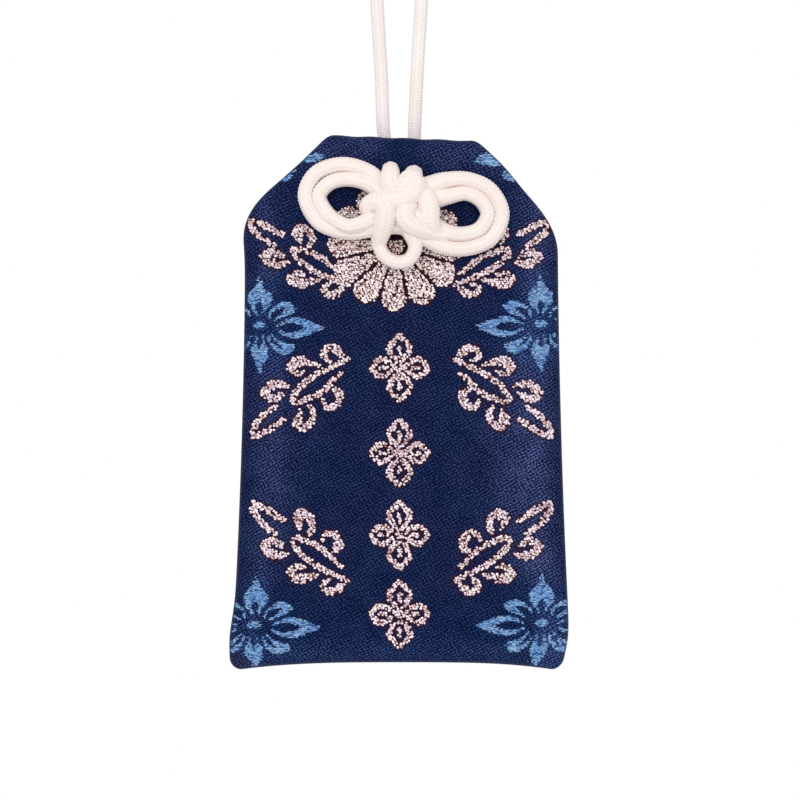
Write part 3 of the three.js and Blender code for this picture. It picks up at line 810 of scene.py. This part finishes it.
def blue_threads(material):
    """Silk weft floats in level rows inside the blue flowers."""
    figures = blue_figures()
    across, down, _ = thread_grid(SILK_START, SILK_ROW, SILK_PITCH)
    across = across + DRAW.uniform(-SILK_PITCH / 2, SILK_PITCH / 2, len(across))
    down = down + DRAW.normal(*SILK_DOWN, len(down))
    length = DRAW.uniform(*SILK_LENGTH, len(across))
    inside = depth_in(across, down, figures) > -SILK_OVERLAP
    inside &= on_cloth(across, down, EDGE_CLEAR) & (DRAW.random(len(across)) > SILK_MISSING)
    for share in SILK_ENDS:
        past = inside & (depth_in(across + share * length, down, figures) < -SILK_OVERLAP)
        length = np.where(past, SILK_CUT * length, length)
    across, down, length = (values[inside] for values in (across, down, length))
    count = len(across)
    width, height = (DRAW.uniform(low, high, count) for low, high in (SILK_WIDTH, SILK_HEIGHT))
    turn = DRAW.normal(*SILK_TURN, count)
    tones = blend_colour(SKY_DEEP, SKY_PALE, DRAW.beta(*SILK_LIGHT, count))
    drift = drifting(across, down, *SILK_DRIFT)
    pallor = np.clip(1 + PALLOR * drift + DRAW.normal(0, PALLOR, count), *PALLOR_LIMITS)
    tones[:, :2] *= np.column_stack([pallor, pallor**PALLOR_GREEN])
    spots = across, down, length, width, height, turn, np.zeros(count)
    return thread_floats("blue_threads", spots, tones, material, smooth=True)


# Cords

# The double-eared knot, drawn tight: across, down from its own top and lift of the cord above the cloth
KNOT_ROUTE = [
    (-1.5, 4.75, 2.2), (-1.5, 6.1, 2.8), (-0.9, 7.3, 2.0), (1.2, 7.4, 1.2), (3.8, 6.6, 1.2),
    (6.2, 5.7, 1.2), (9.3, 5.5, 1.2), (12.6, 6.9, 1.2), (14.4, 10.3, 1.2), (12.9, 13.9, 1.2),
    (9.2, 15.4, 1.2), (5.6, 15.0, 1.3), (2.5, 13.2, 1.4), (0, 11.9, 1.3), (-3.3, 12.2, 1.6),
    (-5.2, 12.8, 1.4), (-7.5, 13.05, 1.2), (-11.6, 11.7, 1.2), (-13.65, 7.8, 1.2), (-12.2, 4.7, 1.2),
    (-8.4, 3.4, 1.2), (-4.6, 4.5, 1.2), (-2.4, 6.8, 1.0), (0.8, 8.3, 1.0), (4.2, 8.3, 1.1),
    (6.6, 7.9, 1.3), (9.4, 7.5, 1.4), (11.5, 8.6, 1.4), (12.4, 10.5, 1.4), (11.2, 12.6, 1.4),
    (8.6, 13.35, 1.4), (5.6, 12.7, 1.6), (3.0, 11.3, 2.4), (0, 10.2, 1.4), (-2.1, 10.2, 1.4),
    (-4.2, 11.2, 2.2), (-5.8, 11.9, 2.5), (-7.6, 12.2, 2.3), (-10.4, 10.5, 1.6), (-11.7, 7.9, 1.4),
    (-10.3, 6.1, 1.4), (-7.9, 5.45, 1.4), (-4.9, 6.0, 1.5), (-2.8, 7.4, 1.6), (-0.8, 9.3, 2.3),
    (0.7, 11.2, 2.2), (1.6, 13.2, 1.9), (2.05, 15.2, 1.6), (1.2, 16.9, 1.2), (-0.5, 17.35, 1.1),
    (-2.3, 16.5, 1.1), (-3.1, 14.9, 1.2), (-3.1, 12.8, 1.0), (-4.0, 10.9, 1.0), (-4.7, 9.9, 1.6),
    (-4.6, 9.2, 2.5), (-3.4, 8.7, 2.9), (-1.4, 8.6, 3.0), (0.4, 8.3, 3.2), (1.7, 7.4, 3.3),
    (2.0, 6.3, 3.1), (1.6, 5.5, 2.4),
]

# Turns that show in front of the knot's middle, their ends tucked under the other runs
FRONT_TURNS = [
    [(2.2, 7.6, 2.0), (3.5, 8.4, 2.7), (4.0, 9.8, 3.0), (4.05, 11.3, 2.9), (4.75, 12.7, 2.1),
     (6.6, 13.3, 1.3)],
    [(-2.9, 15.6, 0.8), (-3.1, 14.6, 1.3), (-2.8, 13.2, 2.3), (-2.4, 11.8, 3.1), (-2.2, 10.4, 3.6),
     (-2.5, 9.3, 3.7), (-3.5, 8.9, 3.2), (-4.5, 9.4, 2.2), (-4.9, 10.2, 1.2)],
    [(7.0, 13.4, 1.2), (5.2, 13.2, 1.8), (3.2, 12.7, 2.4), (1.6, 12.1, 3.0), (0.7, 11.1, 3.2),
     (0.7, 9.8, 3.0), (1.6, 8.8, 2.2)],
    [(-0.2, 8.2, 1.8), (0.3, 7.2, 2.8), (0.7, 6.2, 3.1), (1.4, 5.5, 2.8), (2.4, 5.8, 2.0)],
]

# How far the knot's cord stands out of its holes, at the back and at the front
HOLE_BACK, HOLE_FRONT = 0.9, 0.3

# The cord's thickness in the knot: pressed wide round its middle, and drawn thin in the small loop
KNOT_SWELL, PRESSED_SWELL, LOOP_DRAW = 1.13, 0.5, 0.1
PRESSED_AT, PRESSED_HALF, LOOP_STARTS, LOOP_HALF = (0.9, 9.2), (5.4, 4.8), (13, 15.5), 4.5

# A strand's way out of the back cloth: depth and height above its hole
STRAND_EXIT = [(-2.6, 0), (-1.9, 0), (-1.0, 0.3), (-0.35, 1.0), (0, 2.3)]

# Free stretch of a strand: out from the middle and height above the mouth
LEFT_RISE = [(-2.3, 0), (-2.85, 10), (-3.45, 20), (-3.9, 31), (-3.7, 41), (-2.5, 50)]
RIGHT_RISE = [(1.9, 0), (2.35, 10), (2.95, 20), (3.5, 31), (3.5, 41), (2.5, 50)]

# The overhand knot at the loop's top
CORE_SPACING, WRAP_PITCH, WRAP_TURNS, WRAP_POINTS = 2.3, 4.7, 0.75, 12
BEND_RISE, BEND_LEAD, WRAP_TUCK = 1.25, 0.3, 0.085
OVERHAND_RISE, WRAP_START, TAIL_LENGTH, TAIL_SPREAD = 5.6, 1.25 * math.pi, 9.0, (1.25, 1.6)

# The cord's knit: ribs round it, and the stitches along a rib
WALES, WALE_SIDES, STITCH, KNIT_STEP = 8, 4, 0.44, 0.09
STITCH_SLANT, KNIT_DEPTH, RIB_SHARE, TIP_LENGTH, TIP_FLAT = 0.9, 0.17, 0.4, 0.8, 0.02

# A direction that no cord sets out in, to turn its first ring from, and the steps between path points
RING_START, PATH_STRIDE = (0.3, 0.2, 0.93), 4


def above_cloth(route):
    points = []
    for x, down, lift in route:
        level = down + KNOT_DROP
        drop = (level - MOUTH_TILT * x) / (1 - MOUTH_TILT * x / POUCH_HEIGHT)
        points.append((x, -half_thickness(x, drop) - lift, -level))
    return points


def knot_line():
    """The knot's cord: in at the left hole, through the knot and out at the right hole."""
    ends = []
    for x, drop in (LEFT_HOLE, RIGHT_HOLE):
        depths = HOLE_BACK, 0, -half_thickness(x, drop) - HOLE_FRONT
        ends.append([(x, depth, height_at(x, drop)) for depth in depths])
    return in_frame(smooth_line(ends[0] + above_cloth(KNOT_ROUTE) + ends[1][::-1], KNIT_STEP))


def overhand_points(turn):
    """A strand through the overhand knot and out to its tail."""
    core = CORE_SPACING / 2 * math.sqrt(2)
    wrap = core + CORE_SPACING
    bend = (core + wrap) / 2
    top = WRAP_PITCH * WRAP_TURNS / 2
    start, end = WRAP_START, WRAP_START + WRAP_TURNS * 2 * math.pi

    def polar(radius, angle, z):
        return radius * math.cos(angle + turn), radius * math.sin(angle + turn), OVERHAND_RISE + z

    turned_over = []
    for share in (0.25, 0.5, 0.75):
        out = bend - CORE_SPACING / 2 * math.cos(math.pi * share)
        turned_over.append((out, BEND_LEAD * share, top + BEND_RISE * math.sin(math.pi * share)))
    points = [polar(core, start, z) for z in (-top - 2 * BEND_RISE, 0, top)]
    points += [polar(radius, start + lead, z) for radius, lead, z in turned_over]
    for share in np.linspace(WRAP_TUCK, 1 - WRAP_TUCK, WRAP_POINTS + 1):
        points.append(polar(wrap, start + (end - start) * share, top - 2 * top * share))
    points += [polar(radius, end - lead, -z) for radius, lead, z in reversed(turned_over)]
    points += [polar(core, end, z) for z in (-top, 0, top + BEND_RISE)]
    for share, spread in zip((0.5, 1), TAIL_SPREAD):
        points.append(polar(spread * core, end, top + share * TAIL_LENGTH))
    return points


def strand_line(hole, rise, turn):
    """A strand from inside the back cloth, up through the overhand knot to its tail."""
    x, drop = hole
    level = height_at(x, drop) - LOOP_RISE
    out = [(x, depth, level + up) for depth, up in STRAND_EXIT]
    free = [(across, 0, up - LOOP_RISE) for across, up in rise]
    return smooth_line(out + free + overhand_points(turn), KNIT_STEP)


def rings_along(line):
    """Directions across and over the cord at each point, carried along without twist."""
    ahead = np.gradient(line, axis=0)
    ahead /= np.linalg.norm(ahead, axis=1)[:, None]
    across = np.cross(ahead[0], RING_START)
    sides = []
    for direction in ahead:
        across = across - direction * across.dot(direction)
        across = across / np.linalg.norm(across)
        sides.append(across)
    sides = np.array(sides)
    return sides, np.cross(ahead, sides)


def knit(run, angle):
    """Height of the knitted surface, from 0 in the grooves to 1 on the ribs."""
    rib = WALES * angle / (2 * math.pi)
    offset = rib - np.floor(rib) - 0.5
    lean = np.where(np.floor(rib) % 2 == 0, STITCH_SLANT, -STITCH_SLANT)
    stitch = np.abs(np.sin(math.pi * (run / STITCH + lean * offset)))
    return (1 - 4 * offset**2) * RIB_SHARE + (1 - RIB_SHARE) * stitch


def cord_surface(line, swell):
    """Points, faces and knit heights of a cord along a line, closed at its rounded ends."""
    sides, over = rings_along(line)
    count = WALES * WALE_SIDES
    angle = 2 * math.pi * np.arange(count) / count
    run = np.arange(len(line))[:, None] * KNIT_STEP
    height = knit(run, angle)
    end = np.minimum(run, run[-1] - run)
    taper = roll(end + TIP_FLAT, TIP_LENGTH)
    radius = (CORD_RADIUS * swell[:, None] - KNIT_DEPTH * (1 - height)) * taper
    around = sides[:, None] * np.cos(angle)[:, None] + over[:, None] * np.sin(angle)[:, None]
    points = (line[:, None] + around * radius[..., None]).reshape(-1, 3)
    index = np.arange(len(line) * count).reshape(-1, count)
    ahead = np.roll(index, -1, 1)
    faces = np.stack([index[:-1], ahead[:-1], ahead[1:], index[1:]], -1).reshape(-1, 4).tolist()
    faces += [index[0, ::-1].tolist(), index[-1].tolist()]
    return points, faces, height.ravel()


def cord_mesh(name, runs, strand_lit_share, material):
    """One knitted cord, from the (line, swell) runs of it that show."""
    points, faces, heights = [], [], []
    for line, swell in runs:
        run_points, run_faces, run_heights = cord_surface(line, swell)
        start = sum(len(p) for p in points)
        faces += [[start + v for v in face] for face in run_faces]
        points.append(run_points)
        heights.append(run_heights)
    cord = add_mesh(name, np.concatenate(points), faces, material)
    shade = np.concatenate(heights)
    # Painted shade and light in the tone: its first channel darkens the knit's grooves, its second whitens
    # the free strands
    add_colours(cord, "tone", np.column_stack([shade, np.full_like(shade, strand_lit_share), shade]))
    return cord


def knot_swell(line):
    """How many times its own thickness the cord has along a line through the knot."""
    x, down = line[:, 0] - PRESSED_AT[0], POUCH_TOP - KNOT_DROP - line[:, 2]
    aside, below = x / PRESSED_HALF[0], (down - PRESSED_AT[1]) / PRESSED_HALF[1]
    loop = smooth_step(*LOOP_STARTS, down) * (np.abs(x) < LOOP_HALF)
    return KNOT_SWELL + PRESSED_SWELL * np.exp(-(aside**4) - below**4) - LOOP_DRAW * loop


def make_cords(material):
    knot_path = knot_line()
    turn_paths = [in_frame(smooth_line(above_cloth(turn), KNIT_STEP)) for turn in FRONT_TURNS]
    knot_runs = [(path, knot_swell(path)) for path in (knot_path, *turn_paths)]
    knot = cord_mesh("double_eared_knot", knot_runs, 0.0, material)
    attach(knot, "pouch")
    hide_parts("knot_cord")
    strands = [("left", LEFT_HOLE, LEFT_RISE, 0.0), ("right", RIGHT_HOLE, RIGHT_RISE, math.pi)]
    for side, hole, rise, turn in strands:
        path = strand_line(hole, rise, turn)
        strand = cord_mesh(f"{side}_strand", [(path, np.ones(len(path)))], 1.0, material)
        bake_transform(strand)
        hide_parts(f"{side}_hanging_cord")


# Inner sheets

FLEECE_COLUMNS, FLEECE_ROWS, FLEECE_WAVE, FLEECE_WIDE, FLEECE_TALL = 25, 31, 0.03, 3.1, 4.3


def fleece_sheet(name, node, material):
    """A thin interlining sheet with a little waviness, in the place of its solid."""
    low, high = (np.array(corner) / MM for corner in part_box(node))
    across = np.linspace(low[0], high[0], FLEECE_COLUMNS)
    x, z = np.meshgrid(across, np.linspace(low[2], high[2], FLEECE_ROWS))
    wave = FLEECE_WAVE * np.sin(x / FLEECE_WIDE) * np.sin(z / FLEECE_TALL)
    depths = low[1] + FLEECE_WAVE, high[1] - FLEECE_WAVE
    skins = [np.stack([x, y + wave, z], -1).reshape(-1, 3) for y in depths]
    faces = panel_faces(FLEECE_ROWS, FLEECE_COLUMNS, BACK)
    sheet = add_mesh(name, np.concatenate(skins), faces, material)
    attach(sheet, "pouch")
    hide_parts(node)


# Stage

WORLD_LIGHT, AIM = 0.76, (0.0, 0.0, -0.09)
FLOOR_HALF, FLOOR_LEVEL = 2000, -500


def plain_when_seen(tree, lit, plain):
    """A shader that is plain for rays from the camera, off a mirror or through glass, and lit for others."""
    path = tree.nodes.new("ShaderNodeLightPath")
    seen = path.outputs["Is Camera Ray"]
    for name in ("Is Glossy Ray", "Is Transmission Ray"):
        either = tree.nodes.new("ShaderNodeMath")
        either.operation = "MAXIMUM"
        tree.links.new(seen, either.inputs[0])
        tree.links.new(path.outputs[name], either.inputs[1])
        seen = either.outputs[0]
    mix = tree.nodes.new("ShaderNodeMixShader")
    for socket, source in enumerate((seen, lit, plain)):
        tree.links.new(source, mix.inputs[socket])
    return mix.outputs[0]


def studio_world():
    """Even pale light, with a white background."""
    world = bpy.data.worlds.new("studio")
    bpy.context.scene.world = world
    world.use_nodes = True
    tree = world.node_tree
    tree.nodes.clear()
    lights = []
    for strength in (WORLD_LIGHT, 1.0):
        light = tree.nodes.new("ShaderNodeBackground")
        light.inputs["Color"].default_value = (*WHITE, 1.0)
        light.inputs["Strength"].default_value = strength
        lights.append(light.outputs[0])
    output = tree.nodes.new("ShaderNodeOutputWorld")
    tree.links.new(plain_when_seen(tree, *lights), output.inputs[0])


def soft_lamp(name, place, size, watts):
    lamp = bpy.data.lights.new(name, "AREA")
    lamp.size = size
    lamp.energy = watts
    obj = add_object(name, lamp)
    obj.location = place
    aim = np.array(AIM) - np.array(place)
    turn = math.atan2(aim[0], -aim[1])
    tip = math.atan2(math.hypot(aim[0], aim[1]), -aim[2])
    obj.rotation_euler = (tip, 0, turn + math.pi)


def floor():
    """A pale floor far below the hung charm, out of the main view."""
    look = Look("floor_paint", Roughness=0.9, Base_Color=(0.85, 0.85, 0.85))
    glow = look.node("Emission", inputs={"Color": WHITE, "Strength": 1.0})
    shown = plain_when_seen(look.tree, look.shader.outputs[0], glow)
    look.tree.links.new(shown, look.tree.nodes["Material Output"].inputs["Surface"])
    corners = [(x * FLOOR_HALF, y * FLOOR_HALF, FLOOR_LEVEL) for x, y in ((-1, -1), (1, -1), (1, 1), (-1, 1))]
    add_mesh("floor", corners, [(0, 1, 2, 3)], look.material)


def camera():
    lens = bpy.data.cameras.new("camera")
    lens.lens = 220
    lens.sensor_width = 36
    lens.clip_end = 100
    obj = add_object("camera", lens)
    obj.location = (-0.00014, -0.7044, -0.0933)
    obj.rotation_euler = (math.pi / 2, 0, 0)
    bpy.context.scene.camera = obj


camera()
studio_world()
soft_lamp("key", (-0.35, -0.9, 0.35), size=0.7, watts=3.2)
soft_lamp("fill", (0.6, -0.8, -0.1), size=0.9, watts=1.2)
floor()

cord_material = cord_silk("cord_silk")
satin_material = satin("navy_satin")
make_cords(cord_material)

front = cloth_panel("front_cloth", FRONT, CLOTH_GRID, satin_material)
back = cloth_panel("back_cloth", BACK, BACK_GRID, satin_material)
metal_threads = lame_threads(lame("rose_gold_foil"))
sky_threads = blue_threads(silk("sky_silk"))
for piece in (front, back, metal_threads, sky_threads):
    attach(piece, "pouch")
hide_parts("front_panel")
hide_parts("back_panel")

fleece = speckled("fleece", (0.62, 0.6, 0.54), (0.82, 0.8, 0.75), 900.0)
fleece_sheet("front_fleece", "front_interlining", fleece)
fleece_sheet("back_fleece", "back_interlining", fleece)
inner_looks = {
    "stiffener_card": speckled("grey_card", (0.4, 0.37, 0.3), (0.6, 0.56, 0.47), 1500.0),
    "paper_wrapper": speckled("washi", (0.76, 0.73, 0.63), (0.9, 0.88, 0.8), 700.0, (1.0, 1.0, 0.2)),
    "amulet_tablet": speckled("cypress", (0.52, 0.33, 0.16), (0.72, 0.52, 0.3), 420.0, (6.0, 6.0, 0.4),
                              (0.5, 0.7)),
}
for node, material in inner_looks.items():
    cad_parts[node].material_slots[0].material = material

scene = bpy.context.scene
scene.view_settings.view_transform = "Standard"
